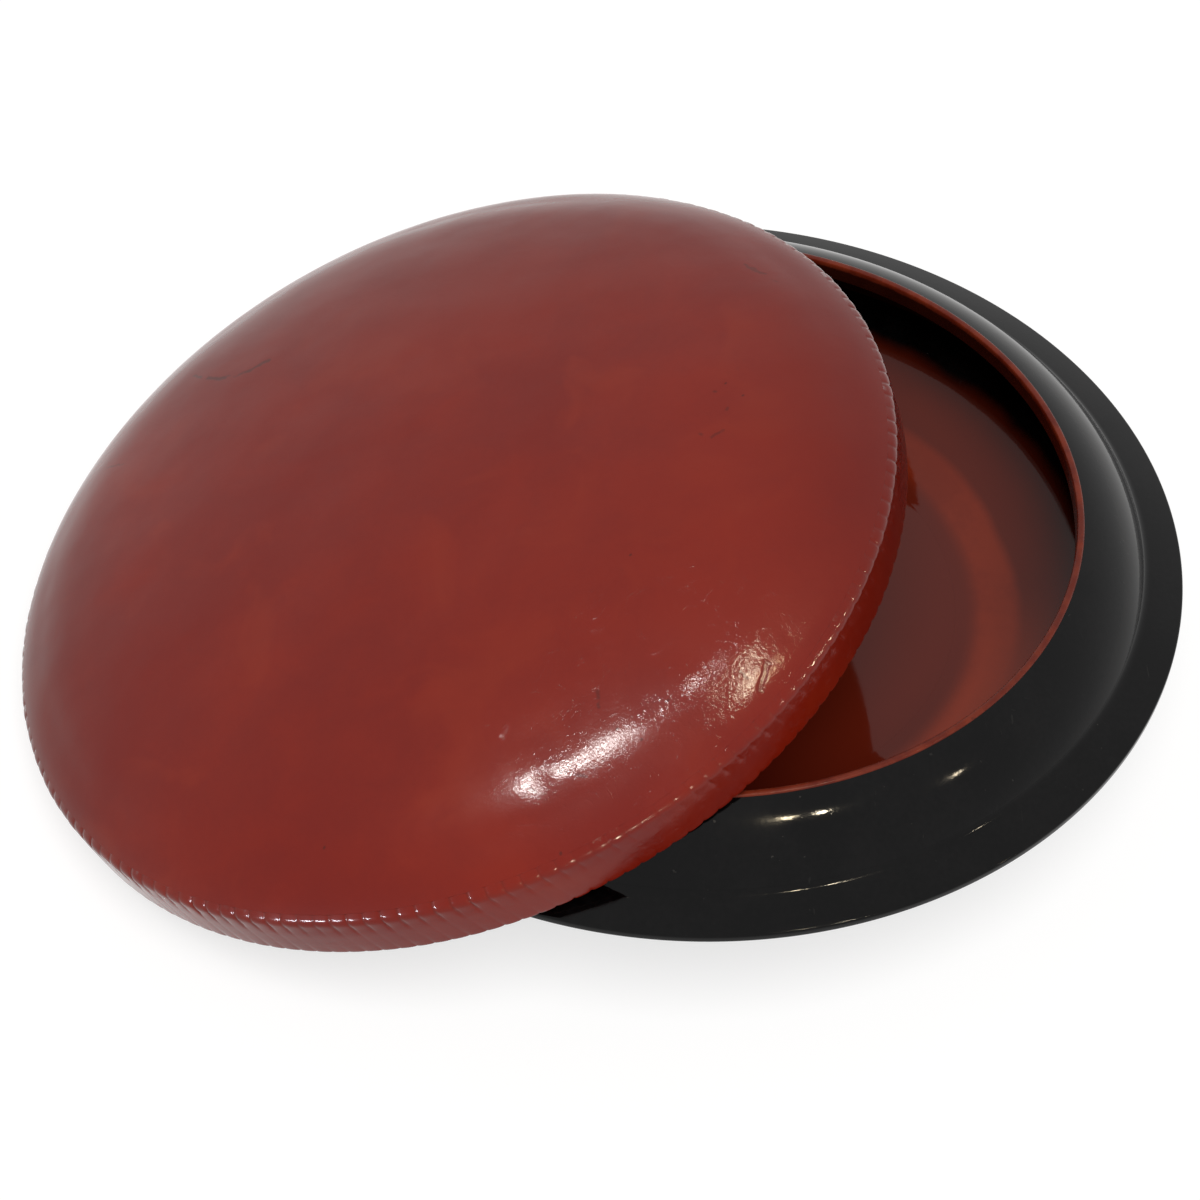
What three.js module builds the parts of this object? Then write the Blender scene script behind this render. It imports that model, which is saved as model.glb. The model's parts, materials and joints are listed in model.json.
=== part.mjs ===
// Round lacquered food bowl with a domed lid, in millimetres, +Z up.
// The lid has been slid off towards -X and leans there: its rim lies across the bowl's lip
// at two places and its far edge rests on the table, which is z = 0.
import * as THREE from 'three';
import { mergeVertices } from 'three/addons/utils/BufferGeometryUtils.js';

// Fits
const gap = 0.3;              // between pieces that touch
const lidFit = 1.7;           // side play of the closed lid around the foot of the shoulder

// Bowl, from the table up and from the axis out
const footHeight = 29.2;      // foot hoop
const footInset = 4;          // ledge of the foot hoop under the floor panel
const footWall = 6.5;         // width of the face it stands on
const footFlare = 3;          // how far the foot spreads towards the table
const footBand = 4;           // upright band along its bottom
const footWaist = 15;         // height to which the hollow of its flare reaches
const footLedge = 4;          // thickness of the ledge at its top
const floorThick = 4.5;       // floor panel
const floorRadius = 110;      // flat part of the floor
const wallThick = 4.5;        // walls of the well and the shoulder
const wellDepth = 63.1;       // from the top of the lip down to the floor
const coveWidth = 64;         // from the flat floor out to the widest part of the hollow
const hollowInset = 10;       // the hollow's widest part, inside the foot of the shoulder
const flangeWidth = 16;       // ledge that the closed lid rests on
const flangeFall = 4.2;       // how far it slopes down to its edge
const flangeEdge = 3.4;       // thickness at its edge
const shoulderWidth = 27.3;   // from the lip out to the foot of the shoulder
const shoulderRise = 23.9;    // from the foot of the shoulder up to the top of the lip
const shoulderBow = 3.3;      // how far the shoulder bulges beyond a straight cone
const lipThick = 3;           // hoop round the mouth
const lipHeight = 8.5;        // it hangs a little below the shoulder, inside
const lipStep = 0.8;          // and stands proud of it on top
const corner = 0.8;           // worn corners of the foot, the flange and the lip

// Lid, from its edge in
const hoopThick = 3.2;        // side hoop
const hoopChamfer = 0.6;      // inner corner of its rim
const bandHeight = 18.7;      // from the ridge down to the rim
const domeRise = 40;          // from the ridge up to the crown
const domeThick = 3.2;        // dome panel
const domeFullness = 2;       // 2 is an ellipse, more is squarer at the shoulder
const rimShow = 1;            // hoop left bare below the strip
const strip = 1;              // strip wound round the lid's edge, under the lacquer
const stripEdge = 0.6;        // its rounded ends at the rim and beside the dome
const stripPitch = 7;         // width of one turn of the strip
const stripSwell = 0.6;       // the ridge stands out this far beyond the rim
const stripBump = 0.8;        // height of each turn's crown over its edges
const stripSlant = 0.9;       // turns by which the strip leans between ridge and rim

// How the lid lies
const lidSlide = 103.9;       // from the bowl's axis to the middle of the lid

// Steps round the circle and along each curve
const around = 64;
const alongFoot = 3;
const alongCove = 7;
const alongShoulder = 5;
const alongDome = 9;

const floorTop = footHeight + gap + floorThick;
const lipTop = floorTop + wellDepth;
const creaseTop = lipTop - shoulderRise;
const flangeTop = creaseTop - flangeFall;
const flangeUnder = flangeTop - flangeEdge;
const hollowRadius = floorRadius + coveWidth;
const creaseRadius = hollowRadius + hollowInset;
const flangeRadius = creaseRadius + flangeWidth;
const lipRadius = creaseRadius - shoulderWidth;

const hoopInner = creaseRadius + lidFit;
const hoopOuter = hoopInner + hoopThick;
const rimRadius = hoopOuter + gap + strip + stripBump;
const ridgeRadius = rimRadius + stripSwell;

const vermilion = new THREE.MeshStandardMaterial({ color: 0x7a2f1f, roughness: 0.3, metalness: 0 });
const wellRed = new THREE.MeshStandardMaterial({ color: 0x6b2417, roughness: 0.28, metalness: 0 });
const lipRed = new THREE.MeshStandardMaterial({ color: 0x8f3322, roughness: 0.35, metalness: 0 });
const black = new THREE.MeshStandardMaterial({ color: 0x0d0c0d, roughness: 0.22, metalness: 0 });

const sameSpot = 1e-4;        // corners nearer than this are one corner

const at = (r, z) => new THREE.Vector2(r, z);

// A closed mesh from a geometry, its seams merged
function closed(geometry) {
  geometry.deleteAttribute('normal');
  geometry.deleteAttribute('uv');
  const merged = mergeVertices(geometry, sameSpot);
  merged.computeVertexNormals();
  return merged;
}

// Turned ring or disc from an outline that runs anticlockwise, radius to the right and height up.
// An outline that leaves the axis ends on it, and any other is closed here.
function turned(outline) {
  const onAxis = outline[0].x === 0;
  const points = onAxis ? outline : [...outline, outline[0]];
  return closed(new THREE.LatheGeometry(points, around).rotateX(Math.PI / 2));
}

// Quarter of an oval, from its lowest point out to the level of its centre or to a lower stop
function cove(centre, width, depth, stop) {
  const last = Math.acos((centre.y - stop) / depth);
  const points = [];
  for (let i = 0; i <= alongCove; i += 1) {
    const angle = last * i / alongCove;
    points.push(at(centre.x + width * Math.sin(angle), centre.y - depth * Math.cos(angle)));
  }
  return points;
}

// The shoulder's circle, through its foot and the lip, bowed outwards
function shoulderCircle() {
  const foot = at(creaseRadius, creaseTop);
  const head = at(lipRadius, lipTop - lipStep);
  const chord = head.clone().sub(foot);
  const half = chord.length() / 2;
  const radius = (half * half + shoulderBow * shoulderBow) / (2 * shoulderBow);
  const inward = at(-chord.y, chord.x).normalize();
  const centre = foot.clone().add(head).multiplyScalar(0.5).addScaledVector(inward, radius - shoulderBow);
  return { centre, radius };
}

const shoulder = shoulderCircle();

// Points of the shoulder at a depth under its surface, from its foot up to the lip
function shoulderLine(depth) {
  const { centre, radius } = shoulder;
  const size = radius - depth;
  const low = Math.asin((creaseTop + gap - centre.y) / size);
  const high = Math.acos((lipRadius + gap - centre.x) / size);
  const points = [];
  for (let i = 0; i <= alongShoulder; i += 1) {
    const angle = low + (high - low) * i / alongShoulder;
    points.push(at(centre.x + size * Math.cos(angle), centre.y + size * Math.sin(angle)));
  }
  return points;
}

// Height of the bowl's upper surface at a radius, or nothing over its mouth and outside it
function bowlTop(r) {
  if (r < lipRadius - lipThick || r > flangeRadius) return -Infinity;
  if (r <= lipRadius) return lipTop;
  if (r > creaseRadius) return creaseTop - flangeFall * (r - creaseRadius) / flangeWidth;
  const { centre, radius } = shoulder;
  return centre.y + Math.sqrt(radius * radius - (r - centre.x) ** 2);
}

// Height of an oval dome over its edge, at a distance from its axis
function domeHeight(r, edge, rise) {
  return rise * (1 - (r / edge) ** domeFullness) ** (1 / domeFullness);
}

// Height of the middle of the lid's ridge when its far edge is on the table
function lidHeight(tilt) {
  return gap + hoopOuter * Math.sin(tilt) + bandHeight * Math.cos(tilt);
}

// Least height of the leaning lid over the bowl: its rim over the lip, the shoulder and the
// flange, and its inner surface over the lip
function lidClearance(tilt) {
  const pose = new THREE.Matrix4().makeRotationY(-tilt);
  pose.setPosition(-lidSlide, 0, lidHeight(tilt));
  const back = pose.clone().invert();
  const steps = 720;
  let least = Infinity;
  for (let i = 0; i < steps; i += 1) {
    const angle = 2 * Math.PI * i / steps;
    for (const r of [hoopInner + hoopChamfer, hoopOuter]) {
      const p = new THREE.Vector3(r * Math.cos(angle), r * Math.sin(angle), -bandHeight);
      p.applyMatrix4(pose);
      least = Math.min(least, p.z - bowlTop(Math.hypot(p.x, p.y)));
    }
    const lip = new THREE.Vector3(lipRadius * Math.cos(angle), lipRadius * Math.sin(angle), lipTop);
    lip.applyMatrix4(back);
    const r = Math.hypot(lip.x, lip.y);
    if (r < hoopInner) {
      least = Math.min(least, domeHeight(r, hoopInner, domeRise - domeThick) - lip.z);
    }
  }
  return least;
}

// Tilt at which the lid, lowered with its far edge on the table, comes to lie on the bowl
function restingTilt() {
  const steepest = Math.PI / 3;
  const halvings = 30;
  let low = 0;
  let high = steepest;
  for (let i = 0; i < halvings; i += 1) {
    const middle = (low + high) / 2;
    if (lidClearance(middle) < gap) low = middle;
    else high = middle;
  }
  return high;
}

// The foot flares in a hollow curve and carries the floor on a ledge inside its top
function footHoop() {
  const outerTop = floorRadius + footWall;
  const outerFoot = outerTop + footFlare;
  const flare = (inset, top) => new THREE.QuadraticBezierCurve(
    at(outerFoot - inset, footBand),
    at(outerTop - inset, footWaist),
    at(outerTop - inset, top),
  ).getPoints(alongFoot);
  const ledgeUnder = footHeight - footLedge;
  return turned([
    at(outerFoot - footWall, 0),
    at(outerFoot - corner, 0),
    at(outerFoot, corner),
    ...flare(0, footHeight),
    at(floorRadius - footInset, footHeight),
    at(floorRadius - footInset, ledgeUnder),
    ...flare(footWall, ledgeUnder - footInset).reverse(),
  ]);
}

function floorPanel() {
  return turned([
    at(0, footHeight + gap),
    at(floorRadius, footHeight + gap),
    at(floorRadius, floorTop),
    at(0, floorTop),
  ]);
}

// The wall is as thick as the floor panel where it meets it, so that both stand on the foot hoop
function wellWall() {
  const centre = at(floorRadius + gap, flangeTop);
  const width = coveWidth - gap;
  const depth = flangeTop - floorTop;
  const stop = flangeUnder - gap;
  const inside = cove(centre, width, depth, stop);
  const outside = cove(centre, width + wallThick, depth + floorThick, stop);
  return turned([...outside, ...inside.reverse()]);
}

function flangeRing() {
  const underShoulder = shoulderLine(wallThick)[0].x;
  return turned([
    at(hollowRadius, flangeUnder),
    at(flangeRadius - corner, flangeUnder),
    at(flangeRadius, flangeUnder + corner),
    at(flangeRadius, flangeTop - corner),
    at(flangeRadius - corner, flangeTop),
    at(creaseRadius, creaseTop),
    at(underShoulder, creaseTop),
  ]);
}

function shoulderRing() {
  return turned([...shoulderLine(0), ...shoulderLine(wallThick).reverse()]);
}

function lipHoop() {
  const inner = lipRadius - lipThick;
  const foot = lipTop - lipHeight;
  return turned([
    at(inner, foot),
    at(lipRadius, foot),
    at(lipRadius, lipTop - corner),
    at(lipRadius - corner, lipTop),
    at(inner + corner, lipTop),
    at(inner, lipTop - corner),
  ]);
}

// Points of an oval dome of a given edge radius and rise, from a radius on it up to the crown
function domeLine(edge, rise, from, steps) {
  const first = Math.asin((from / edge) ** (domeFullness / 2));
  const points = [];
  for (let i = 0; i < steps; i += 1) {
    const angle = first * (1 - i / steps);
    const r = edge * Math.sin(angle) ** (2 / domeFullness);
    points.push(at(r, rise * Math.cos(angle) ** (2 / domeFullness)));
  }
  points.push(at(0, rise));
  return points;
}

function domePanel() {
  const outside = domeLine(ridgeRadius, domeRise, hoopOuter, alongDome);
  const inside = domeLine(hoopInner, domeRise - domeThick, hoopInner, alongDome - 1);
  return turned([...inside.reverse(), at(hoopOuter, 0), ...outside]);
}

function sideHoop() {
  return turned([
    at(hoopInner + hoopChamfer, -bandHeight),
    at(hoopOuter, -bandHeight),
    at(hoopOuter, -gap),
    at(hoopInner, -gap),
    at(hoopInner, hoopChamfer - bandHeight),
  ]);
}

// Strip wound side by side round the edge of the lid. The outline is its section, from the rim
// up the outside, over the ridge and back down the hoop. Each turn has a crown and an edge, and
// the whole section leans round the circle, so that the turns slant from ridge to rim.
function edgeWinding() {
  const bottom = rimShow - bandHeight;
  const ridgeTop = domeHeight(hoopOuter, ridgeRadius, domeRise);
  const back = hoopOuter + gap;
  const outline = [
    at(rimRadius - stripEdge, bottom),
    at(rimRadius, bottom + stripEdge),
    at(ridgeRadius, 0),
    at(back + strip, ridgeTop - stripEdge),
    at(back, ridgeTop - gap),
    at(back, bottom),
  ];
  const turns = Math.round(2 * Math.PI * ridgeRadius / stripPitch);
  const stations = 2 * turns;
  const perTurn = 2 * Math.PI / turns;
  const position = [];
  const index = [];
  for (let i = 0; i < stations; i += 1) {
    const dip = i % 2 === 0 ? stripBump : 0;
    outline.forEach(({ x: r, y: z }, j) => {
      const down = (ridgeTop - z) / (ridgeTop - bottom);
      const angle = perTurn * (i / 2 + stripSlant * down);
      const size = Math.max(back, r - dip);
      position.push(size * Math.cos(angle), size * Math.sin(angle), z);
      const next = (i + 1) % stations * outline.length;
      const here = i * outline.length;
      const k = (j + 1) % outline.length;
      index.push(here + j, next + j, next + k, here + j, next + k, here + k);
    });
  }
  const geometry = new THREE.BufferGeometry();
  geometry.setAttribute('position', new THREE.Float32BufferAttribute(position, 3));
  geometry.setIndex(index);
  geometry.computeVertexNormals();
  return geometry;
}

function piece(name, geometry, material) {
  const mesh = new THREE.Mesh(geometry, material);
  mesh.name = name;
  return mesh;
}

const bowl = new THREE.Group();
bowl.add(
  piece('foot_hoop', footHoop(), black),
  piece('floor_panel', floorPanel(), wellRed),
  piece('well_wall', wellWall(), wellRed),
  piece('flange_ring', flangeRing(), black),
  piece('shoulder_ring', shoulderRing(), black),
  piece('lip_hoop', lipHoop(), lipRed),
);

const lid = new THREE.Group();
lid.add(
  piece('dome_panel', domePanel(), vermilion),
  piece('side_hoop', sideHoop(), vermilion),
  piece('edge_winding', edgeWinding(), vermilion),
);
const tilt = restingTilt();
lid.position.set(-lidSlide, 0, lidHeight(tilt));
lid.rotation.y = -tilt;

// The origin is under the middle of the whole, at table level
const farLeft = -lidSlide - ridgeRadius * Math.cos(tilt);
const group = new THREE.Group();
group.add(bowl, lid);
group.position.x = -(flangeRadius + farLeft) / 2;

export default group;
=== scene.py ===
import json
import math

import bpy
import numpy as np
from mathutils import Matrix, Vector, noise


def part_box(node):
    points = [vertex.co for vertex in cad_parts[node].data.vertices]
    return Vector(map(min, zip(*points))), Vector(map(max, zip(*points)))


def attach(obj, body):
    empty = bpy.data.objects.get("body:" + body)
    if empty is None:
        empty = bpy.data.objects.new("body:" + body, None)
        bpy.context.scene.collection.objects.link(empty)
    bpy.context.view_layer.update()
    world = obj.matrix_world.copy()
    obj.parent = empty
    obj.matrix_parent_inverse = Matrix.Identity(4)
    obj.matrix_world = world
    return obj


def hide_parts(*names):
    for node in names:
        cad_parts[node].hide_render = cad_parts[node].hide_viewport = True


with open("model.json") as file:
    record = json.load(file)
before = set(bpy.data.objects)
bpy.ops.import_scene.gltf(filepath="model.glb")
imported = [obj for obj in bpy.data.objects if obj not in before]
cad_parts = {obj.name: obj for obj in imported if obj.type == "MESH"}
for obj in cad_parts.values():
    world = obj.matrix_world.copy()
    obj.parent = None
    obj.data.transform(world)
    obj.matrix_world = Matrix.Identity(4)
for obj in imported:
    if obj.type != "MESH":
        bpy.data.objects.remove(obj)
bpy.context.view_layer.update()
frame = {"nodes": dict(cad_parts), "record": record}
mm = 0.001


# Where the bowl and the lid stand, and their sizes in millimetres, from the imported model
def middle(node):
    low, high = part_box(node)
    return (low + high) / 2


def reach(node, place):
    back = place.inverted()
    points = np.array([back @ v.co for v in frame["nodes"][node].data.vertices]) / mm
    radii = np.hypot(points[:, 0], points[:, 1])
    low, high = points[:, 2].min(), points[:, 2].max()
    return {"outer": radii.max(), "inner": radii.min(), "low": low, "high": high}


flangeMiddle = middle("flange_ring")
bowlPlace = Matrix.Translation((flangeMiddle.x, flangeMiddle.y, 0))
bowlNodes = ("foot_hoop", "floor_panel", "well_wall", "flange_ring", "lip_hoop")
foot, floorSize, wall, flange, lip = (reach(node, bowlPlace) for node in bowlNodes)

# the lid's own axes: its zero is in the middle of its ridge
rimFace = next(m for m in frame["record"]["mounts"] if m["name"] == "lid_rim_face")
lidUp = -Vector(rimFace["axis"]).normalized()
lidSide = Vector((0, 1, 0))
lidTurn = Matrix((lidSide.cross(lidUp), lidSide, lidUp)).transposed().to_4x4()
hoopPlace = Matrix.Translation(middle("side_hoop")) @ lidTurn
lidPlace = hoopPlace @ Matrix.Translation((0, 0, reach("dome_panel", hoopPlace)["low"] * mm))
lidNodes = ("dome_panel", "side_hoop", "edge_winding")
dome, hoop, winding = (reach(node, lidPlace) for node in lidNodes)
print("sizes read from the frame")


# Shapes
def at(r, z):
    return np.array([r, z], float)


def bend(start, pull, end, steps):
    # from start to end, drawn towards pull
    return [
        start * (1 - t) ** 2 + pull * 2 * t * (1 - t) + end * t * t
        for t in np.linspace(0, 1, steps + 1)]


def softened(outline, sizes, steps=4):
    # rounds the numbered corners of a closed outline, each by its own size
    out = []
    for i, here in enumerate(outline):
        size = sizes.get(i, 0)
        if not size:
            out.append(here)
            continue
        before, after = outline[i - 1], outline[(i + 1) % len(outline)]
        a = here + (before - here) / np.linalg.norm(before - here) * size
        b = here + (after - here) / np.linalg.norm(after - here) * size
        out.extend(bend(a, here, b, steps))
    return out


def oval(centre, wide, high, first, last, steps):
    # angles in degrees, upwards from the level
    return [
        at(centre[0] + wide * math.cos(a), centre[1] + high * math.sin(a))
        for a in np.radians(np.linspace(first, last, steps + 1))]


def meshed(name, points, faces, place, sharp=32):
    # points in millimetres in the piece's own axes, which place puts into the frame
    mesh = bpy.data.meshes.new(name)
    mesh.from_pydata((np.asarray(points) * mm).tolist(), [], faces)
    mesh.transform(place)
    mesh.validate()
    mesh.polygons.foreach_set("use_smooth", [True] * len(mesh.polygons))
    mesh.set_sharp_from_angle(angle=math.radians(sharp))
    made = bpy.data.objects.new(name, mesh)
    bpy.context.scene.collection.objects.link(made)
    return made


def turned(name, outline, steps, place, shape=None):
    # a closed outline, anticlockwise with the radius to the right, turned about the axis
    points, rings = [], []
    angles = np.linspace(0, 2 * math.pi, steps, endpoint=False)
    for r, z in outline:
        if r < 1e-6:
            rings.append([len(points)] * steps)
            points.append((0, 0, z))
            continue
        rings.append(list(range(len(points), len(points) + steps)))
        points.extend((r * math.cos(a), r * math.sin(a), z) for a in angles)
    points = np.array(points)
    if shape:
        points = shape(points)
    faces = []
    for j, ring in enumerate(rings):
        following = rings[(j + 1) % len(rings)]
        if ring[0] == ring[1] and following[0] == following[1]:
            continue
        for i in range(steps):
            k = (i + 1) % steps
            corners = [ring[i], ring[k], following[k], following[i]]
            faces.append([c for n, c in enumerate(corners) if c != corners[n - 1]])
    return meshed(name, points, faces, place)


def swell(points, size, seed):
    # smooth unevenness over lengths of about size, mostly between -0.5 and 0.5
    # every seed reads another part of the noise
    shift = Vector((seed * 7.3, seed * 3.1, seed * 5.7))
    return np.array([noise.noise(Vector(p) / size + shift) for p in points])


def finishPiece(made, material, node, body):
    made.data.materials.append(material)
    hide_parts(node)
    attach(made, body)
    print(made.name, "made:", len(made.data.polygons), "faces")


# Shader maths: a socket that can be written into sums
class Wire:
    def __init__(self, tree, socket=None):
        self.tree = tree
        self.socket = socket

    def node(self, kind, settings=None, inputs=None, out=0):
        made = self.tree.nodes.new(kind)
        for name, value in (settings or {}).items():
            setattr(made, name, value)
        for key, value in (inputs or {}).items():
            if isinstance(value, Wire):
                self.tree.links.new(value.socket, made.inputs[key])
            else:
                made.inputs[key].default_value = value
        return Wire(self.tree, made.outputs[out] if made.outputs else None)

    def maths(self, operation, first, second):
        return self.node("ShaderNodeMath", {"operation": operation}, {0: first, 1: second})

    def __add__(self, other):
        return self.maths("ADD", self, other)

    def __radd__(self, other):
        return self.maths("ADD", other, self)

    def __sub__(self, other):
        return self.maths("SUBTRACT", self, other)

    def __rsub__(self, other):
        return self.maths("SUBTRACT", other, self)

    def __mul__(self, other):
        return self.maths("MULTIPLY", self, other)

    def __rmul__(self, other):
        return self.maths("MULTIPLY", other, self)

    def least(self, other):
        return self.maths("MINIMUM", self, other)

    def most(self, other):
        return self.maths("MAXIMUM", self, other)

    def step(self, low, high):
        # 0 up to low, 1 from high, smooth between them
        return self.node("ShaderNodeMapRange", {"interpolation_type": "SMOOTHSTEP"}, {
            0: self, 1: low, 2: high, 3: 0.0, 4: 1.0})

    def vector(self, operation, first, second, out=0):
        settings = {"operation": operation}
        return self.node("ShaderNodeVectorMath", settings, {0: first, 1: second}, out)

    def part(self, axis):
        return self.node("ShaderNodeSeparateXYZ", None, {0: self}, axis)

    def near(self, spot, low, high):
        # 1 up to the distance low from a spot, 0 from the distance high
        return 1.0 - self.vector("DISTANCE", self, spot, 1).step(low, high)

    def blend(self, first, second):
        # the first colour where this is 0, the second where it is 1
        return self.node("ShaderNodeMix", {"data_type": "RGBA"}, {0: self, 6: first, 7: second}, 2)

    def between(self, low, high):
        return self.blend((*low, 1), (*high, 1))

    def tint(self, colour, share):
        # this colour, passing into another by a share
        return share.blend(self, (*colour, 1))

    def grain(self, size, detail=3.0, rough=0.5, twist=0.0):
        # noise over lengths of about size millimetres, mostly from 0.3 to 0.7
        return self.node("ShaderNodeTexNoise", None, {
            "Vector": self, "Scale": 1 / size, "Detail": detail,
            "Roughness": rough, "Distortion": twist})

    def relief(self, grain, much):
        # a grain about zero
        return (self.grain(*grain) - 0.5) * much

    def patches(self, grain, shown):
        # 0 below a range of a grain and 1 above it
        return self.grain(*grain).step(*shown)


def newMaterial(name, axes):
    # also gives the place on the piece, in millimetres along its own axes
    material = bpy.data.materials.new(name)
    material.use_nodes = True
    material.node_tree.nodes.clear()
    wire = Wire(material.node_tree)
    place = wire.node("ShaderNodeMapping", {"vector_type": "TEXTURE"}, {
        "Vector": wire.node("ShaderNodeTexCoord", None, None, "Object"),
        "Location": tuple(axes.translation), "Rotation": tuple(axes.to_euler()),
        "Scale": (mm,) * 3})
    return material, wire, place


def polish(cloud, look):
    # roughness from the sharpest to the dullest places
    return look["sharp"] + cloud.step(*look["dullRange"]) * (look["dull"] - look["sharp"])


def lacquer(wire, look, colour, roughness, height):
    bump = {"Strength": 1.0, "Distance": mm, "Height": height}
    inputs = {
        "Base Color": colour, "Roughness": roughness, "IOR": look["ior"],
        "Normal": wire.node("ShaderNodeBump", None, bump)}
    if "coat" in look:
        # the crinkled skin gives the sharp lights, and the coat over it the soft halo round them
        inputs["Coat Weight"] = look["coat"]
        inputs["Coat Roughness"] = look["coatRoughness"]
        inputs["Coat IOR"] = look["ior"]
    shader = wire.node("ShaderNodeBsdfPrincipled", None, inputs)
    wire.node("ShaderNodeOutputMaterial", None, {0: shader})


def strokes(place, lines, width):
    # 1 on any of the lines, which are given on the lid's own plan
    flat = place.vector("MULTIPLY", place, (1, 1, 0))
    mask = None
    for a, b in lines:
        along = Vector((*b, 0)) - Vector((*a, 0))
        fromStart = flat.vector("SUBTRACT", flat, (*a, 0))
        share = flat.vector("DOT_PRODUCT", fromStart, tuple(along / along.length_squared), 1)
        share = share.most(0.0).least(1.0)
        nearest = flat.node("ShaderNodeCombineXYZ", None, {0: share * along.x, 1: share * along.y})
        line = 1.0 - flat.vector("DISTANCE", fromStart, nearest, 1).step(width * 0.25, width)
        mask = line if mask is None else mask.most(line)
    return mask


def joined(paths):
    return [pair for path in paths for pair in zip(path, path[1:])]


# Lid: red lacquer, uneven by hand. In this and the other lacquers a grain is its size in mm,
# detail, roughness and twist, patches are a grain and a range, a relief is a grain and a height
redLook = {
    "deep": (0.168, 0.0065, 0.0015), "bright": (0.208, 0.0110, 0.0025),
    # edge is the colour of the painted shade towards the lid's sides and back
    "warm": (0.226, 0.0160, 0.0035), "edge": (0.115, 0.0050, 0.0015),
    "worn": (0.085, 0.0110, 0.0050), "mark": (0.070, 0.0060, 0.0025),
    "ior": 1.28, "sharp": 0.10, "dull": 0.19, "dullRange": (0.35, 0.7),
    "coat": 0.25, "coatRoughness": 0.34,
    "broad": (95, 2.0), "cloud": (24, 4.0, 0.6, 0.4), "fine": (3.0, 4.0, 0.6),
    "shares": (0.6, 0.28, 0.12), "tone": (0.32, 0.68),    # of broad, cloud and fine in the tone
    "warmPatches": ((42, 3.0, 0.5, 0.8), (0.54, 0.72)), "warmShare": 0.5,
    "wornPatches": ((5.0, 4.0, 0.65), (0.58, 0.8)),
    "grooveRange": (0.35, 1.0), "grooveShare": 0.3,
    "crinkle": ((1.3, 3.0, 0.55, 0.6), 0.022), "ripple": ((9.0, 3.0, 0.55, 1.4), 0.07),
    "grit": 0.014,
    # painted shade: darker towards both sides and the back, where less light falls
    "sides": (120, 190), "back": (20, 180), "backShadeShare": 0.7, "sideShadeShare": 0.6,
    # finely wrinkled and creased low on the right: middle, and where that begins and ends to fade
    "handled": ((98, -138, 10), 45, 100), "wrinkle": ((2.4, 3.0, 0.6, 1.2), 0.07),
    "crease": (13, 3.0, 0.5, 1.5), "creaseWidth": 0.012, "creaseDepth": 0.035,
    "creasePatches": ((7, 2.0), (0.48, 0.6)),
    # and rubbed smoother there
    "rubbed": ((116, -128, 14), 22, 44), "rubbedShare": 0.55,
    # marks on the lid's plan, whose lines wander a little
    "wander": (((4.0,), 2.2), ((3.1,), 2.2)), "markShare": 0.8,
    "fold": [(130, -125), (128, -130), (125, -135)],
    "foldWidth": 1.6, "foldDepth": 0.15, "foldShare": 0.4,
    "cracks": [[(-110, 117), (-101, 107), (-93, 101), (-84, 98), (-76, 97), (-70, 99), (-67, 99)]],
    "crackWidth": 1.5, "crackDepth": 0.012, "crackPatches": ((6, 3.0), (0.45, 0.55)),
    "chips": [
        [(-150, 76), (-145, 74), (-139, 71)], [(143, 82), (147, 76), (151, 74)],
        [(146, 79), (151, 71), (159, 66)], [(121, 7), (127, 2)],
        [(118, -18), (123, -22), (128, -19)], [(132, -5), (128, -12)],
        [(68, -135), (68, -129)], [(50, -156), (59, -160)], [(36, -159), (40, -162)],
        [(65, -151), (66, -155)], [(120, -128), (122, -131)],
    ],
    "chipWidth": 1.0, "chipShare": 0.7,
    "specks": [
        (-44, -162), (87, -73), (93, -137), (50, -157), (73, -145), (81, -150), (44, -183),
        (131, 6), (137, -2),
    ],
    "speckLength": 0.3, "speckWidth": 0.7,
}


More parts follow.
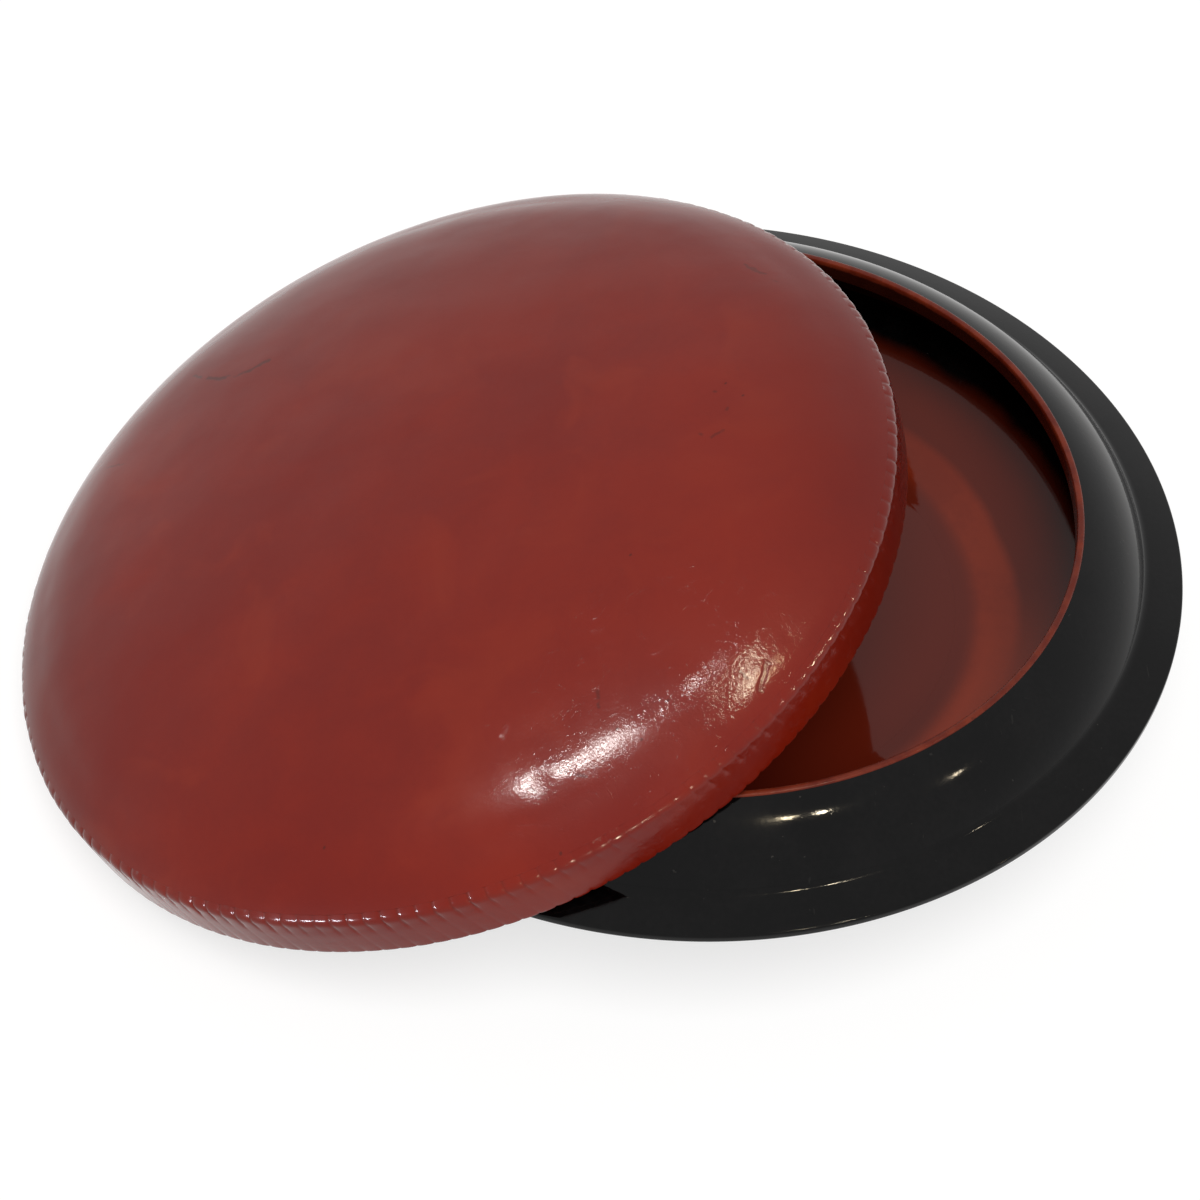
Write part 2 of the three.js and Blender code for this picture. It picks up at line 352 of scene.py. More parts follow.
def redLacquer(name, wear, marked=False, groove=False):
    look = redLook
    material, wire, place = newMaterial(name, lidPlace)
    broad, cloud, fine = (place.grain(*look[k]) for k in ("broad", "cloud", "fine"))
    broadShare, cloudShare, fineShare = look["shares"]
    tone = (broad * broadShare + cloud * cloudShare + fine * fineShare).step(*look["tone"])
    colour = tone.between(look["deep"], look["bright"])
    colour = colour.tint(look["warm"], place.patches(*look["warmPatches"]) * look["warmShare"])
    height = place.relief(*look["crinkle"]) + (fine - 0.5) * look["grit"]
    height = height + place.relief(*look["ripple"])
    handled = place.near(*look["handled"])
    height = height + place.relief(*look["wrinkle"]) * handled
    crease = place.maths("ABSOLUTE", place.grain(*look["crease"]) - 0.5, 0.0)
    crease = (1.0 - crease.step(0.0, look["creaseWidth"])) * place.patches(*look["creasePatches"])
    height = height - crease * handled * look["creaseDepth"]
    # painted shade towards both sides and the back of the lid
    sides = place.maths("ABSOLUTE", place.part("X"), 0.0).step(*look["sides"])
    back = place.part("Y").step(*look["back"]) * look["backShadeShare"]
    colour = colour.tint(look["edge"], sides.most(back) * look["sideShadeShare"])
    roughness = polish(cloud, look) * (1.0 - place.near(*look["rubbed"]) * look["rubbedShare"])
    colour = colour.tint(look["worn"], place.patches(*look["wornPatches"]) * wear)
    if groove:
        valley = wire.node("ShaderNodeAttribute", {"attribute_name": "groove"}, None, "Fac")
        colour = colour.tint(look["worn"], valley.step(*look["grooveRange"]) * look["grooveShare"])
    if marked:
        aside = {i: place.relief(*relief) for i, relief in enumerate(look["wander"])}
        wander = place.vector("ADD", place, wire.node("ShaderNodeCombineXYZ", None, aside))
        cracks = strokes(wander, joined(look["cracks"]), look["crackWidth"])
        chips = strokes(wander, joined(look["chips"]), look["chipWidth"])
        cracks = cracks.most(chips * look["chipShare"]) * place.patches(*look["crackPatches"])
        length = look["speckLength"]
        specks = [((x, y), (x + length, y + length)) for x, y in look["specks"]]
        marks = cracks.most(strokes(place, specks, look["speckWidth"]))
        colour = colour.tint(look["mark"], marks * look["markShare"])
        fold = strokes(wander, joined([look["fold"]]), look["foldWidth"])
        colour = colour.tint(look["mark"], fold * look["foldShare"])
        height = height - cracks * look["crackDepth"] - fold * look["foldDepth"]
    lacquer(wire, look, colour, roughness, height)
    return material


# Dome: its lower edge is straighter than the oval, so that the ridge shows as an edge
domeLook = {
    "around": 516, "rings": 88, "edgeRings": 18, "insideRings": 30, "wear": 0.1,
    "straightFrom": 160, "edgeFall": 46, "corner": 2.6, "cornerOut": 0.3,
    "seamGap": 0.2,          # no ring of the dome lies closer than this to the winding
    # unevenness: depth, length over which it changes, and how the place is stretched for it
    "waves": [(1.0, 90, (1, 1, 1)), (0.30, 30, (1, 1, 1)), (0.07, 11, (1, 1, 2))], "seed": 4,
    "calm": 14,              # width over which the unevenness dies out towards the ridge
    # dents and swellings low on the right: place on the lid's plan, size and depth
    "dents": [
        ((141, -116), 5, 0.14), ((88, -141), 5, 0.18), ((41, -160), 5, 0.34),
        ((99, -129), 8, -0.22),
    ],
    "dentCalm": 5,
}


def domeHeight(r):
    return dome["high"] * math.sqrt(1 - (r / winding["outer"]) ** 2)


def edgeCurve():
    look = domeLook
    r = look["straightFrom"]
    start = at(r, domeHeight(r))
    end = at(winding["outer"] + look["cornerOut"], look["corner"])
    slope = -(dome["high"] / winding["outer"]) ** 2 * start[0] / start[1]
    fall = -math.tan(math.radians(look["edgeFall"]))
    pull = (start[1] - end[1] - slope * start[0] + fall * end[0]) / (fall - slope)
    return start, at(pull, start[1] + slope * (pull - start[0])), end


def domeOutside():
    # from the ridge's corner up to the crown
    look = domeLook
    start, pull, end = edgeCurve()
    first = math.degrees(math.acos(start[0] / winding["outer"]))
    top = oval((0, 0), winding["outer"], dome["high"], first, 90, look["rings"])
    top[-1] = at(0, dome["high"])
    return bend(end, pull, start, look["edgeRings"])[:-1] + top


def atRadius(line, r):
    # the point of a line that runs inwards, at a radius
    for a, b in zip(line, line[1:]):
        if b[0] <= r <= a[0]:
            return a + (b - a) * (r - a[0]) / (b[0] - a[0])


def makeDome():
    look = domeLook
    seam = hoop["outer"]
    line = domeOutside()
    outside = [atRadius(line, seam)] + [p for p in line if p[0] < seam - look["seamGap"]]
    under = dome["high"] - (hoop["outer"] - hoop["inner"])
    inside = oval((0, 0), hoop["inner"], under, 90, 0, look["insideRings"])
    inside[0] = at(0, under)
    outsideCount = (len(outside) - 1) * look["around"] + 1

    def uneven(points):
        skin = points[:outsideCount]
        drop = sum(
            depth * (0.5 - swell(skin * stretch, size, seed))
            for seed, (depth, size, stretch) in enumerate(look["waves"], look["seed"]))
        fromSeam = seam - np.hypot(skin[:, 0], skin[:, 1])
        fade = np.clip(fromSeam / look["calm"], 0, 1)
        drop *= fade * fade * (3 - 2 * fade)
        fade = np.clip(fromSeam / look["dentCalm"], 0, 1)
        for (x, y), size, depth in look["dents"]:
            away = (skin[:, 0] - x) ** 2 + (skin[:, 1] - y) ** 2
            drop += depth * fade * np.exp(-away / size ** 2)
        normal = skin / np.array([winding["outer"], winding["outer"], dome["high"]]) ** 2
        normal /= np.linalg.norm(normal, axis=1)[:, None]
        points[:outsideCount] = skin - normal * drop[:, None]
        return points

    made = turned("lid_dome", outside + inside + [at(seam, 0)], look["around"], lidPlace, uneven)
    material = redLacquer("lid lacquer", look["wear"], marked=True)
    finishPiece(made, material, "dome_panel", "lid")


makeDome()

# Band under the ridge, seen inside the lid and as a thin line under the wound strip
bandLook = {"around": 360, "rimRound": 0.5, "wear": 0.6}


def makeBand():
    outline = softened([
        at(hoop["inner"], hoop["low"]),
        at(hoop["outer"], hoop["low"]),
        at(hoop["outer"], 0),
        at(hoop["inner"], 0),
    ], {0: 2 * bandLook["rimRound"], 1: bandLook["rimRound"]})
    made = turned("lid_band", outline, bandLook["around"], lidPlace)
    material = redLacquer("band lacquer", bandLook["wear"])
    finishPiece(made, material, "side_hoop", "lid")


makeBand()

# Strip wound round the lid's edge, under the lacquer
windLook = {
    "pitch": 7, "perTurn": 10, "bandRings": 12, "roundRings": 8, "rimRings": 3,
    "round": 2.2, "rimRound": 0.6, "sharp": 50, "wear": 0.3, "seed": 11,
    "slant": 0.9, "slantSpread": 0.035,    # in turns, from ridge to rim
    "bandIn": 0.6,           # the band goes in this far from ridge to rim
    # gap to the dome's rings and to the band behind, and how its back goes in under the dome
    "seamGap": 0.05, "backGap": 0.02, "lap": 0.4, "lapDepth": 0.5,
    # least and greatest inset between the turns and on them, and how much of a turn's section is
    # round, where the rest falls at its sides only
    "valley": (0.45, 0.85), "crown": (0.0, 0.30), "arch": 0.45,
    # how much of the inset shows at the ridge, on the band between two of its heights, at the rim
    "ridgeShare": 1.0, "bandShare": 0.10, "bandFrom": 0.25, "bandTo": 0.75, "rimShare": 0.35,
    # stretch in degrees where lacquer fills the valleys and the rim is notched deeper
    "filled": (-90, -8), "filledShare": 0.35, "filledSoft": 14,
    "notch": 0.25, "deepNotch": 0.7, "notchEven": 0.75,
}


def makeWinding():
    look = windLook
    rng = np.random.default_rng(look["seed"])
    seam = hoop["outer"]
    line = domeOutside()
    top = [p for p in line if p[0] > seam + look["seamGap"]][::-1]
    corner = top[-1]
    rim = at(winding["outer"] - look["bandIn"], winding["low"])
    bandStart = corner + (rim - corner) / np.linalg.norm(rim - corner) * look["round"]
    top = [p for p in top if np.linalg.norm(p - corner) > look["round"]]
    inwards = look["round"] * math.cos(math.radians(domeLook["edgeFall"]))
    ridge = bend(atRadius(line, corner[0] - inwards), corner, bandStart, look["roundRings"])
    levels = np.linspace(0, 1, look["bandRings"] + 1)[1:-1]
    band = [bandStart + (rim - bandStart) * t for t in levels]
    rimRound = bend(
        rim + at(0, look["rimRound"]), rim, rim - at(look["rimRound"], 0), look["rimRings"])
    behind, under = seam + look["backGap"], seam - look["lap"]
    back = [
        at(behind, winding["low"]), at(behind, 0),
        at(under, atRadius(line, under)[1] - look["lapDepth"])]
    front = [atRadius(line, seam)] + top + ridge + band + rimRound
    section = np.array(front + back)
    shown = np.zeros(len(section))                     # how much the turns show
    shown[:len(front)] = 1
    shown[:len(top) + 1] = np.linspace(0, look["ridgeShare"], len(top) + 1)
    last = len(top) + 1 + len(ridge)
    shown[len(top) + 1:last] = look["ridgeShare"]
    shown[last:last + len(band)] = np.interp(
        np.linspace(0, 1, len(band)), (0, look["bandFrom"], look["bandTo"], 1),
        (look["ridgeShare"], look["bandShare"], look["bandShare"], look["rimShare"]))
    shown[last + len(band):len(front)] = look["rimShare"]
    bottom = np.zeros(len(section))
    bottom[len(front) - len(rimRound):len(front)] = 1
    down = np.clip((corner[1] - section[:, 1]) / (corner[1] - rim[1]), 0, 1)

    turns = round(2 * math.pi * winding["outer"] / look["pitch"])
    valley = rng.uniform(*look["valley"], turns)
    crown = rng.uniform(*look["crown"], turns)
    drop = rng.uniform(0, 1, turns)
    lean = rng.normal(0, look["slantSpread"], turns)
    even = look["notchEven"]
    points, groove = [], []
    count = turns * look["perTurn"]
    for i in range(count):
        turn, share = divmod(i, look["perTurn"])
        share /= look["perTurn"]
        side = abs(2 * share - 1)
        edge = look["arch"] * side ** 2 + (1 - look["arch"]) * side ** 7
        gap = valley[turn] if share < 0.5 else valley[(turn + 1) % turns]
        azimuth = (360 * (turn + share) / turns + 180) % 360 - 180
        inside = min(azimuth - look["filled"][0], look["filled"][1] - azimuth) / look["filledSoft"]
        inside = min(max(inside, 0), 1)
        full = 1 - look["filledShare"] * inside
        notch = look["notch"] + inside * look["deepNotch"]
        inset = (crown[turn] * (1 - edge) + gap * edge) * shown * full
        along = turn + share + look["slant"] * down + lean[turn] * (1 - side)
        angle = 2 * math.pi / turns * along
        r = section[:, 0] - inset
        z = section[:, 1] + bottom * notch * (even * edge + (1 - even) * drop[turn])
        points.append(np.column_stack([r * np.cos(angle), r * np.sin(angle), z]))
        groove.append(edge * shown * full)
    size = len(section)
    faces = []
    for i in range(count):
        here, after = i * size, (i + 1) % count * size
        for j in range(size):
            k = (j + 1) % size
            faces.append([here + k, after + k, after + j, here + j])
    made = meshed("wound_edge", np.vstack(points), faces, lidPlace, look["sharp"])
    worn = made.data.attributes.new("groove", "FLOAT", "POINT")
    worn.data.foreach_set("value", np.concatenate(groove))
    material = redLacquer("edge lacquer", look["wear"], groove=True)
    finishPiece(made, material, "edge_winding", "lid")


makeWinding()

# Black lacquer of the bowl
blackLook = {
    "dark": (0.0006, 0.0005, 0.0006), "pale": (0.0026, 0.0023, 0.0024),
    "fleck": (0.026, 0.024, 0.022),
    "ior": 1.25, "sharp": 0.06, "dull": 0.13, "dullRange": (0.4, 0.7),
    "cloud": (30, 4.0, 0.55, 0.3), "fine": (2.2, 3.0, 0.6), "cloudShare": 0.6, "tone": (0.4, 0.66),
    "crinkle": 0.020, "ripple": ((24, 2.0), 0.05),
    "flecks": ((1.9, 1.0), (0.75, 0.79)), "fleckPatches": ((26, 2.0), (0.54, 0.64)),
    # two sets of scratches: how the place is stretched along them, their grain and its range
    "scratches": [
        ((1, 0.05, 0.4), (1.4, 1.0), (0.74, 0.78)), ((0.06, 1, 0.4), (1.4, 1.0), (0.75, 0.79)),
    ],
    "scratchPatches": ((20, 2.0), (0.5, 0.68)), "scratchShare": 0.35,
    "markDull": 0.2, "markDepth": 0.01,
}


def blackParts(place):
    # colour, roughness and height of the black lacquer, with a few pale flecks and fine scratches
    look = blackLook
    cloud, fine = place.grain(*look["cloud"]), place.grain(*look["fine"])
    flecks = place.patches(*look["flecks"]) * place.patches(*look["fleckPatches"])
    long, across = (
        place.vector("MULTIPLY", place, stretch).patches(grain, shown)
        for stretch, grain, shown in look["scratches"])
    scratches = long.most(across) * place.patches(*look["scratchPatches"])
    marks = flecks.most(scratches * look["scratchShare"])
    tone = (cloud * look["cloudShare"] + fine * (1 - look["cloudShare"])).step(*look["tone"])
    colour = tone.between(look["dark"], look["pale"]).tint(look["fleck"], marks)
    roughness = polish(cloud, look) + marks * look["markDull"]
    height = (fine - 0.5) * look["crinkle"] + place.relief(*look["ripple"])
    return colour, roughness, height - marks * look["markDepth"]


def blackLacquer(name):
    material, wire, place = newMaterial(name, bowlPlace)
    lacquer(wire, blackLook, *blackParts(place))
    return material


black = blackLacquer("black lacquer")

# Foot: a hollow flare with an upright band at the bottom
footLook = {
    "around": 360, "rings": 12, "band": 4, "waist": 15, "wall": 6.5, "flare": 3, "ledge": 4,
    "worn": 0.8,
}


def makeFoot():
    look = footLook
    outer, high, thick, ledge = foot["outer"], foot["high"], look["wall"], look["ledge"]

    def side(inwards, end):
        low, top = outer - inwards, outer - look["flare"] - inwards
        return bend(at(low, look["band"]), at(top, look["waist"]), at(top, end), look["rings"])

    outline = [
        at(outer - thick, 0), at(outer, 0), *side(0, high), at(foot["inner"], high),
        at(foot["inner"], high - ledge), *side(thick, high - 2 * ledge)[::-1]]
    outline = softened(outline, {0: look["worn"], 1: look["worn"]})
    made = turned("flared_foot", outline, look["around"], bowlPlace)
    finishPiece(made, black, "foot_hoop", "bowl")


makeFoot()

# Ledge that the closed lid rests on, with lacquer pooled in the corner under the shoulder
flangeLook = {
    "around": 480, "width": 16, "fall": 4.2, "worn": 0.8, "innerWorn": 0.3,
    # the pool's reach over the ledge and up the shoulder, its skin on the shoulder, its corner
    "pool": 2.6, "poolRise": 1.7, "poolSkin": 0.04, "poolCorner": 0.05, "poolRings": 8,
    "tuck": (2.5, 0.3),      # the section goes in and down behind the pool
    "backDrop": 2.5,
}
shoulderLook = {"around": 480, "rings": 28, "bow": 3.3, "thick": 4.5, "lift": 0.1}
creaseRadius = flange["outer"] - flangeLook["width"]
lipStep = 0.8                # the shoulder ends this far under the lip's top


def shoulderLine(depth, low, high, steps):
    # points of the shoulder's circle, a depth under its surface, between two heights of that surface
    start = at(creaseRadius, flange["high"])
    end = at(lip["outer"], lip["high"] - lipStep)
    chord = end - start
    half = np.linalg.norm(chord) / 2
    bow = shoulderLook["bow"]
    radius = (half * half + bow * bow) / (2 * bow)
    centre = (start + end) / 2 + at(-chord[1], chord[0]) / (2 * half) * (radius - bow)
    angles = [math.degrees(math.asin((z - centre[1]) / radius)) for z in (low, high)]
    return oval(centre, radius - depth, radius - depth, *angles, steps)


def makeFlange():
    look = flangeLook
    high, slope = flange["high"], look["fall"] / look["width"]
    poolOut = at(creaseRadius + look["pool"], high - slope * look["pool"])
    poolLevel = high + look["poolRise"]
    poolTop = shoulderLine(-look["poolSkin"], poolLevel, poolLevel, 0)[0]
    poolCorner = at(creaseRadius + look["poolCorner"], high)
    outline = softened([
        at(flange["inner"], flange["low"]),
        at(flange["outer"], flange["low"]),
        at(flange["outer"], high - look["fall"]),
        *bend(poolOut, poolCorner, poolTop, look["poolRings"]),
        poolTop - at(*look["tuck"]),
        at(flange["inner"], high - look["backDrop"]),
    ], {0: look["innerWorn"], 1: look["worn"], 2: look["worn"]})
    made = turned("outer_ledge", outline, look["around"], bowlPlace)
    finishPiece(made, black, "flange_ring", "bowl")


makeFlange()


def makeShoulder():
    look = shoulderLook
    low, high = flange["high"] + look["lift"], lip["high"] - lipStep
    outside = shoulderLine(0, low, high, look["rings"])
    inside = shoulderLine(look["thick"], low, high, look["rings"])
    made = turned("rounded_shoulder", outside + inside[::-1], look["around"], bowlPlace)
    finishPiece(made, black, "shoulder_ring", "bowl")


makeShoulder()

# Lip: the orange-red hoop round the mouth
lipLook = {
    "around": 480, "worn": 1.3, "footWorn": (0.4, 0.2), "wornSteps": 5,
    "red": (0.105, 0.0115, 0.0045), "orange": (0.160, 0.0220, 0.0080),
    # dark is both the painted shade on the collar and the colour of real worn patches
    "dark": (0.012, 0.0022, 0.0012),
    "ior": 1.28, "cloud": (8, 3.0), "sharp": 0.22, "dull": 0.37, "dullRange": (0.4, 0.7),
    "tone": ((14, 4.0, 0.6), (0.38, 0.62)), "relief": ((3.0, 4.0, 0.6), 0.05),
    # height of the painted shade on the collar under the lip's top, how its edge wanders and how far
    # it fades
    "collar": 2.2, "collarWander": ((6, 3.0), 1.2), "collarFade": (0.8, 0.6), "collarShadeShare": 0.9,
    "wornPatches": ((2.4, 4.0, 0.65), (0.6, 0.74)), "wornShare": 0.4,
}


def lipLacquer():
    look = lipLook
    material, wire, place = newMaterial("lip lacquer", bowlPlace)
    colour = place.patches(*look["tone"]).between(look["red"], look["orange"])
    # painted shade on the collar inside, and darker where hands have worn it
    edge = lip["high"] - look["collar"]
    down, up = look["collarFade"]
    level = place.part("Z") + place.relief(*look["collarWander"])
    innerShade = 1.0 - level.step(edge - down, edge + up)
    colour = colour.tint(look["dark"], innerShade * look["collarShadeShare"])
    colour = colour.tint(look["dark"], place.patches(*look["wornPatches"]) * look["wornShare"])
    roughness = polish(place.grain(*look["cloud"]), look)
    lacquer(wire, look, colour, roughness, place.relief(*look["relief"]))
    return material


def makeLip():
    look = lipLook
    inFoot, outFoot = look["footWorn"]
    outline = softened([
        at(lip["inner"], lip["low"]), at(lip["outer"], lip["low"]),
        at(lip["outer"], lip["high"]), at(lip["inner"], lip["high"]),
    ], {0: inFoot, 1: outFoot, 2: look["worn"], 3: look["worn"]}, look["wornSteps"])
    made = turned("red_lip", outline, look["around"], bowlPlace)
    finishPiece(made, lipLacquer(), "lip_hoop", "bowl")


makeLip()

# Well: red inside, with painted shade that darkens it upwards and passes into black under the
# shoulder, and black lacquer outside
wellLook = {
    "around": 480, "coveRings": 40, "topGap": 0.05, "floorGap": 0.02,
    "floorRings": (8, 12, 14),    # from how far inside its edge, to which radius, how many
    "deep": (0.150, 0.0140, 0.0034), "bright": (0.180, 0.0185, 0.0046),
    # floor and wall: painted shade, darker than the cove's red
    "floor": (0.098, 0.0096, 0.0036), "wall": (0.092, 0.0088, 0.0026),
    # shade is deeper painted shade up the wall, near is painted light towards the front
    "shade": (0.040, 0.0045, 0.0016), "near": (0.310, 0.0350, 0.0100),
    "cloud": (40, 3.0, 0.5, 0.5), "fine": (4.0, 4.0, 0.6), "cloudShare": 0.7, "tone": (0.36, 0.64),
    "ior": 1.28, "sharp": 0.03, "dull": 0.07, "dullRange": (0.4, 0.7),
    "ripple": ((26, 2.0), 0.05), "crinkle": 0.006,
    # heights in mm between which the colours pass into each other, the painted shade of floor and
    # wall among them
    "floorTo": 34.6, "wallShadeRange": (36.4, 37.8), "shadeRange": (40, 54), "shadeBlackRange": (50, 54.5),
    "wallWander": ((40, 2.0), 1.4), "shadeWander": ((30, 3.0), 6),
    # painted light: brighter towards the front, from which height, and less so further up
    "nearRange": (0, 85), "nearFrom": (34.0, 35.0), "nearFade": (40.0, 54.0),
    "nearLightShare": 0.85, "nearLoss": 0.35, "nearClear": 0.7,
    "skinFade": 0.1,         # half the height in which the floor's red passes into the black below
}
coveMiddle = at(wall["inner"], flange["high"] - flangeLook["fall"])
wallThick = floorSize["high"] - floorSize["low"]


def wellLacquer(name, outside):
    # outside takes the place and gives 1 on the faces under the bowl
    look = wellLook
    material, wire, place = newMaterial(name, bowlPlace)
    darkColour, darkRoughness, darkHeight = blackParts(place)
    cloud, fine = place.grain(*look["cloud"]), place.grain(*look["fine"])
    tone = (cloud * look["cloudShare"] + fine * (1 - look["cloudShare"])).step(*look["tone"])
    colour = tone.between(look["deep"], look["bright"])
    level = place.part("Z")
    # painted shade: the floor and the wall above the cove darker than the cove
    colour = colour.tint(look["floor"], 1.0 - level.step(floorSize["high"], look["floorTo"]))
    wallLevel = level + place.relief(*look["wallWander"])
    colour = colour.tint(look["wall"], wallLevel.step(*look["wallShadeRange"]))
    # painted light towards the front, which also clears some of the painted shade there
    near = (0.0 - place.part("Y")).step(*look["nearRange"]) * level.step(*look["nearFrom"])
    nearLightShare = look["nearLightShare"] - level.step(*look["nearFade"]) * look["nearLoss"]
    colour = colour.tint(look["near"], near * nearLightShare)
    level = level + place.relief(*look["shadeWander"])
    shade = level.step(*look["shadeRange"]) * (1.0 - near * look["nearClear"])
    colour = colour.tint(look["shade"], shade)
    # painted shade: black high on the wall under the shoulder, and the real black on the faces under
    # the bowl
    dark = level.step(*look["shadeBlackRange"]).most(outside(place))
    red = 1.0 - dark
    roughness = polish(cloud, look) * red + darkRoughness * dark
    height = place.relief(*look["ripple"]) + (fine - 0.5) * look["crinkle"]
    height = height * red + darkHeight * dark
    lacquer(wire, look, dark.blend(colour, darkColour), roughness, height)
    return material


def coveOutside(place):
    # beyond the middle of the wall's thickness
    x, y = place.part("X"), place.part("Y")
    across = place.maths("POWER", x * x + y * y, 0.5) - float(coveMiddle[0])
    deep = place.part("Z") - float(coveMiddle[1])
    wide = wall["outer"] - wall["inner"] - wallThick / 2
    high = coveMiddle[1] - wall["low"] - wallThick / 2
    far = across * across * float(1 / wide ** 2) + deep * deep * float(1 / high ** 2)
    return far.step(0.99, 1.01)


def makeWall():
    look = wellLook
    depth = coveMiddle[1] - floorSize["high"]
    width = wall["outer"] - wall["inner"] - wallThick
    drop = coveMiddle[1] - (flange["low"] - look["topGap"])
    # the frame's widest point is at its top, a little inside the oval's own width
    stretch = 1 / math.cos(math.asin(drop / (depth + wallThick)))

    def cove(wide, deep):
        last = math.degrees(math.asin(drop / deep))
        return oval(coveMiddle, wide * stretch, deep, -90, -last, look["coveRings"])

    outline = cove(width + wallThick, depth + wallThick) + cove(width, depth)[::-1]
    made = turned("hollow_wall", outline, look["around"], bowlPlace)
    finishPiece(made, wellLacquer("well lacquer", coveOutside), "well_wall", "bowl")


def makeFloor():
    look = wellLook
    low, high = floorSize["low"], floorSize["high"]
    edge = wall["inner"] - look["floorGap"]
    inwards, last, count = look["floorRings"]
    outline = [at(0, low), at(edge, low), at(edge, high)]
    outline += [at(r, high) for r in np.linspace(edge - inwards, last, count)] + [at(0, high)]
    made = turned("well_floor", outline, look["around"], bowlPlace)
    half = float(low + high) / 2

    def outside(place):
        return 1.0 - place.part("Z").step(half - look["skinFade"], half + look["skinFade"])

    material = wellLacquer("floor lacquer", outside)
    finishPiece(made, material, "floor_panel", "bowl")


makeWall()
makeFloor()

# Floor: white where it is seen, grey for the light that it gives back, with the object's shadow
floorLook = {"size": 40, "level": -0.0003, "glow": 0.70, "white": 0.345, "grey": 0.62}


def plain(level):
    return (level, level, level, 1)


def seenStraight(wire):
    # 1 for the rays that are shown the white background: the camera's, those off gloss and
    # those through glass
    seen, glossy, through = (
        wire.node("ShaderNodeLightPath", None, None, ray)
        for ray in ("Is Camera Ray", "Is Glossy Ray", "Is Transmission Ray"))
    return seen.most(glossy).most(through)


def makeStage():
    look = floorLook
    half = look["size"] / 2 / mm
    corners = [(-half, -half, 0), (half, -half, 0), (half, half, 0), (-half, half, 0)]
    level = Matrix.Translation((0, 0, look["level"]))
    made = meshed("studio_floor", corners, [(0, 1, 2, 3)], level)
    material, wire = newMaterial("studio floor", Matrix())[:2]
    glow = wire.node("ShaderNodeEmission", None, {"Color": plain(look["glow"]), "Strength": 1.0})
    white = wire.node("ShaderNodeBsdfDiffuse", None, {"Color": plain(look["white"])})
    seen = wire.node("ShaderNodeAddShader", None, {0: glow, 1: white})
    grey = wire.node("ShaderNodeBsdfDiffuse", None, {"Color": plain(look["grey"])})
    both = wire.node("ShaderNodeMixShader", None, {0: seenStraight(wire), 1: grey, 2: seen})
    wire.node("ShaderNodeOutputMaterial", None, {0: both})
    made.data.materials.append(material)


makeStage()

# World: white where it is seen, and an even warm light
worldLook = {"even": 0.28, "tint": (1.0, 0.92, 0.84), "white": (1.0, 1.0, 1.0)}


def makeWorld():
    look = worldLook
    world = bpy.data.worlds.new("studio")
    world.use_nodes = True
    world.node_tree.nodes.clear()
    bpy.context.scene.world = world
    wire = Wire(world.node_tree)
    straight = seenStraight(wire)
    sky = wire.node("ShaderNodeBackground", None, {
        "Color": straight.between(look["tint"], look["white"]),
        "Strength": straight + (1.0 - straight) * look["even"]})
    wire.node("ShaderNodeOutputWorld", None, {0: sky})


makeWorld()

# Lamps: the key lights matt surfaces only, and the small ones only give lights on the lacquer
lamps = {
    "key": {"sun": 2.45, "spread": 40, "from": (0.05, -0.45, 0.89)},
    # spot on the object, way from there to the lamp, way of its long side, distance, size, power,
    # colour and, for some, the only group of pieces that they light
    "cool": {
        "spot": (-0.013, -0.154, 0.120), "to": (-0.31, -0.03, 0.95), "along": (-0.97, 0.02, -0.2),
        "far": 1.6, "size": (0.42, 0.07), "watts": 15, "colour": (1.0, 0.97, 0.94), "only": "lid"},
    "pale": {
        "spot": (0.050, -0.130, 0.120), "to": (-0.06, 0.045, 1.0), "along": (0.43, -0.9, 0),
        "far": 1.6, "size": (0.10, 0.07), "watts": 1.7, "colour": (1.0, 0.94, 0.86), "only": "lid"},
    "warm": {
        "spot": (0.060, -0.140, 0.120), "to": (0.148, -0.046, 0.985), "along": (0.43, -0.9, 0),
        "far": 1.6, "size": (0.27, 0.085), "watts": 4.2, "colour": (1.0, 0.90, 0.66),
        "only": "lid"},
    "warmer": {
        "spot": (0.060, -0.140, 0.120), "to": (0.245, -0.06, 0.965), "along": (1, 0, 0),
        "far": 1.6, "size": (0.08, 0.11), "watts": 1.4, "colour": (1.0, 0.78, 0.44), "only": "lid"},
    "side": {
        "spot": (0.078, -0.121, 0.122), "to": (0.88, -0.23, 0.40), "along": (0, 1, 0),
        "far": 1.6, "size": (0.10, 0.10), "watts": 5.5, "colour": (1.0, 0.82, 0.56), "only": "lid"},
    "front": {
        "spot": (0.010, -0.190, 0.095), "to": (0.30, -0.92, 0.24), "along": (0.93, 0.35, 0),
        "far": 1.6, "size": (0.09, 0.09), "watts": 11, "colour": (1.0, 0.80, 0.56), "only": "lid"},
    "left": {
        "spot": (0.061, -0.164, 0.092), "to": (0.22, -0.38, 0.90), "along": (1, 0, 0),
        "far": 1.6, "size": (0.05, 0.05), "watts": 2.0, "colour": (1.0, 0.84, 0.56),
        "only": "bowl"},
    "right": {
        "spot": (0.075, -0.162, 0.092), "to": (0.31, -0.36, 0.88), "along": (1, 0, 0),
        "far": 1.6, "size": (0.05, 0.05), "watts": 2.7, "colour": (1.0, 0.86, 0.62),
        "only": "bowl"},
    "far": {
        "spot": (0.128, -0.146, 0.090), "to": (0.68, -0.27, 0.68), "along": (0, 1, 0),
        "far": 1.8, "size": (0.05, 0.05), "watts": 0.9, "colour": (1.0, 0.84, 0.60)},
    "window": {
        "spot": (-0.119, -0.181, 0.065), "to": (-0.73, -0.68, 0.05), "along": (0.58, -0.8, 0),
        "far": 1.8, "size": (0.45, 0.16), "watts": 22, "colour": (0.86, 0.90, 1.0)},
}
litPieces = {
    "lid": ("lid_dome", "lid_band", "wound_edge"),
    "bowl": ("rounded_shoulder", "outer_ledge", "red_lip"),
}


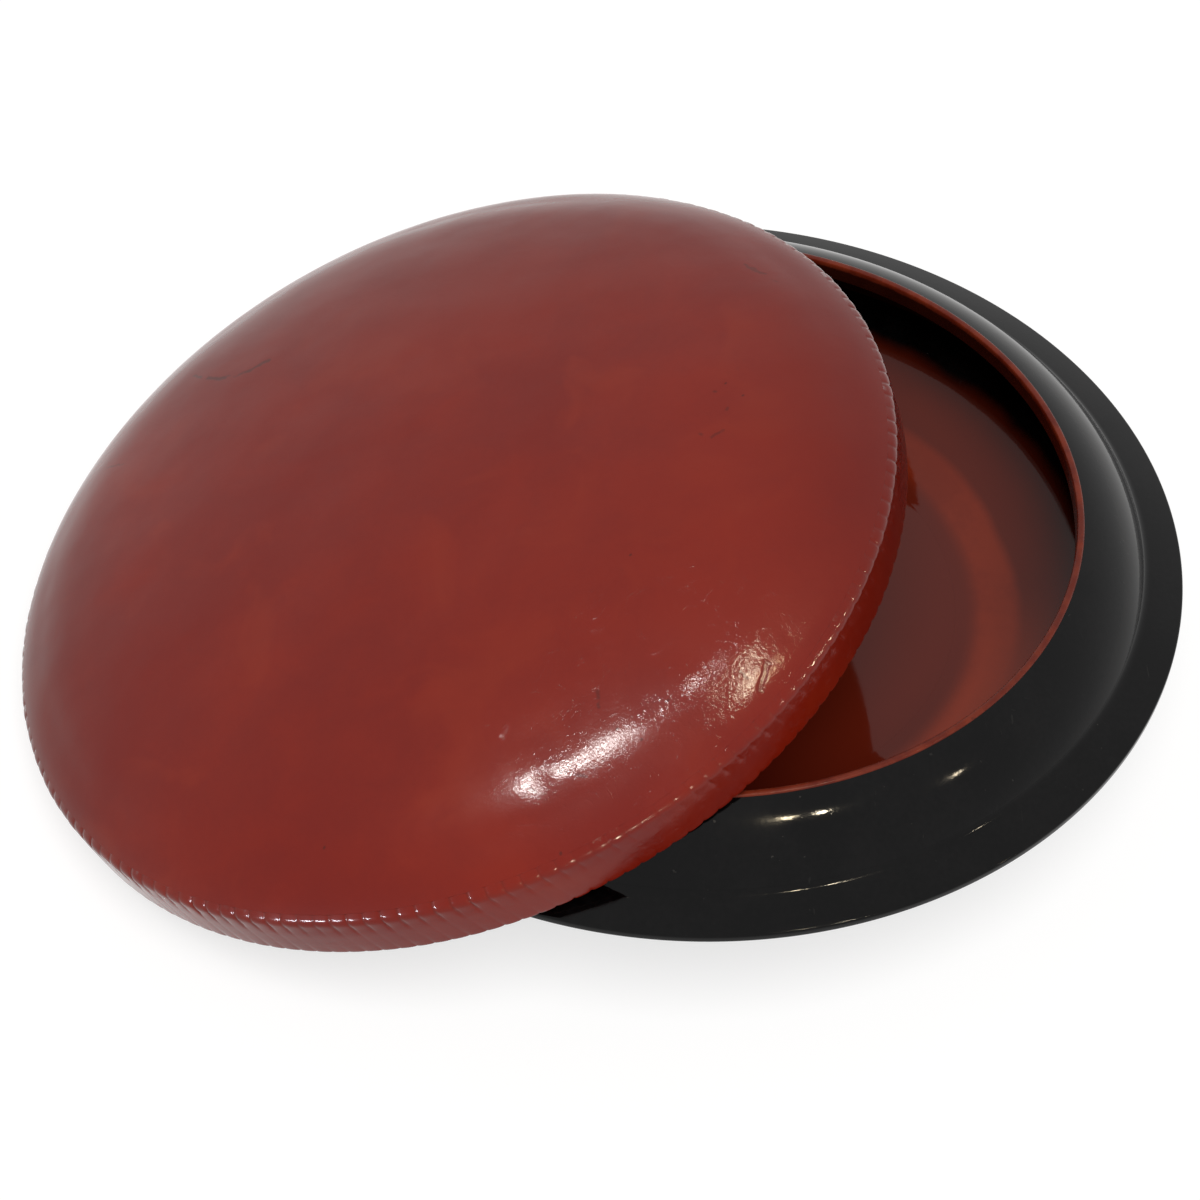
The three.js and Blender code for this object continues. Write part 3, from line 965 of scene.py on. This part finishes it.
def makeLamps():
    groups = {}
    for group, names in litPieces.items():
        groups[group] = bpy.data.collections.new("lit " + group)
        for name in names:
            groups[group].objects.link(bpy.data.objects[name])
    for name, look in lamps.items():
        data = bpy.data.lights.new(name, "SUN" if "sun" in look else "AREA")
        made = bpy.data.objects.new(name + "_lamp", data)
        bpy.context.scene.collection.objects.link(made)
        if "sun" in look:
            data.energy = look["sun"]
            data.angle = math.radians(look["spread"])
            made.rotation_mode = "QUATERNION"
            made.rotation_quaternion = Vector(look["from"]).to_track_quat("Z", "Y")
            made.visible_glossy = False
            continue
        data.shape = "ELLIPSE"
        data.size, data.size_y = look["size"]
        data.energy = look["watts"]
        data.color = look["colour"]
        back = Vector(look["to"]).normalized()
        along = Vector(look["along"])
        along = (along - back * along.dot(back)).normalized()
        turn = Matrix((along, back.cross(along), back)).transposed().to_4x4()
        made.matrix_world = Matrix.Translation(Vector(look["spot"]) + back * look["far"]) @ turn
        if "only" in look:
            made.light_linking.receiver_collection = groups[look["only"]]
        made.visible_diffuse = False
        made.visible_camera = False
        made.visible_camera = False


makeLamps()

# Camera: solved from circles of the bowl, in metres and degrees, with lens and sensor in mm
camera = {
    "aim": 0.069, "distance": 1.171359, "heading": -6.0, "elevation": 46.8179,
    "pan": -1.91069, "tilt": -1.28520, "roll": 2.04267, "lens": 84.64, "sensor": 36,
}


def spun(first, second, angle):
    # two directions turned in their own plane, the first towards the second
    c, s = math.cos(angle), math.sin(angle)
    return first * c + second * s, second * c - first * s


def makeCamera():
    look = camera
    rise, pan, tilt, roll = (math.radians(look[k]) for k in ("elevation", "pan", "tilt", "roll"))
    away = Vector((0, -math.cos(rise), math.sin(rise)))
    ahead, side = -away, Vector((1, 0, 0))
    up = side.cross(ahead)
    ahead, side = spun(ahead, side, pan)
    ahead, up = spun(ahead, up, tilt)
    side, up = spun(side, up, roll)
    turn = Matrix((side, up, -ahead)).transposed().to_4x4()
    data = bpy.data.cameras.new("camera")
    data.lens = look["lens"]
    data.sensor_width = look["sensor"]
    made = bpy.data.objects.new("camera", data)
    bpy.context.scene.collection.objects.link(made)
    heading = Matrix.Rotation(math.radians(look["heading"]), 4, "Z")
    aim = Matrix.Translation((flangeMiddle.x, flangeMiddle.y, look["aim"]))
    made.matrix_world = aim @ heading @ Matrix.Translation(away * look["distance"]) @ turn
    bpy.context.scene.camera = made
    bpy.context.scene.view_settings.view_transform = "Standard"


makeCamera()
print("floor, lamps and camera placed")
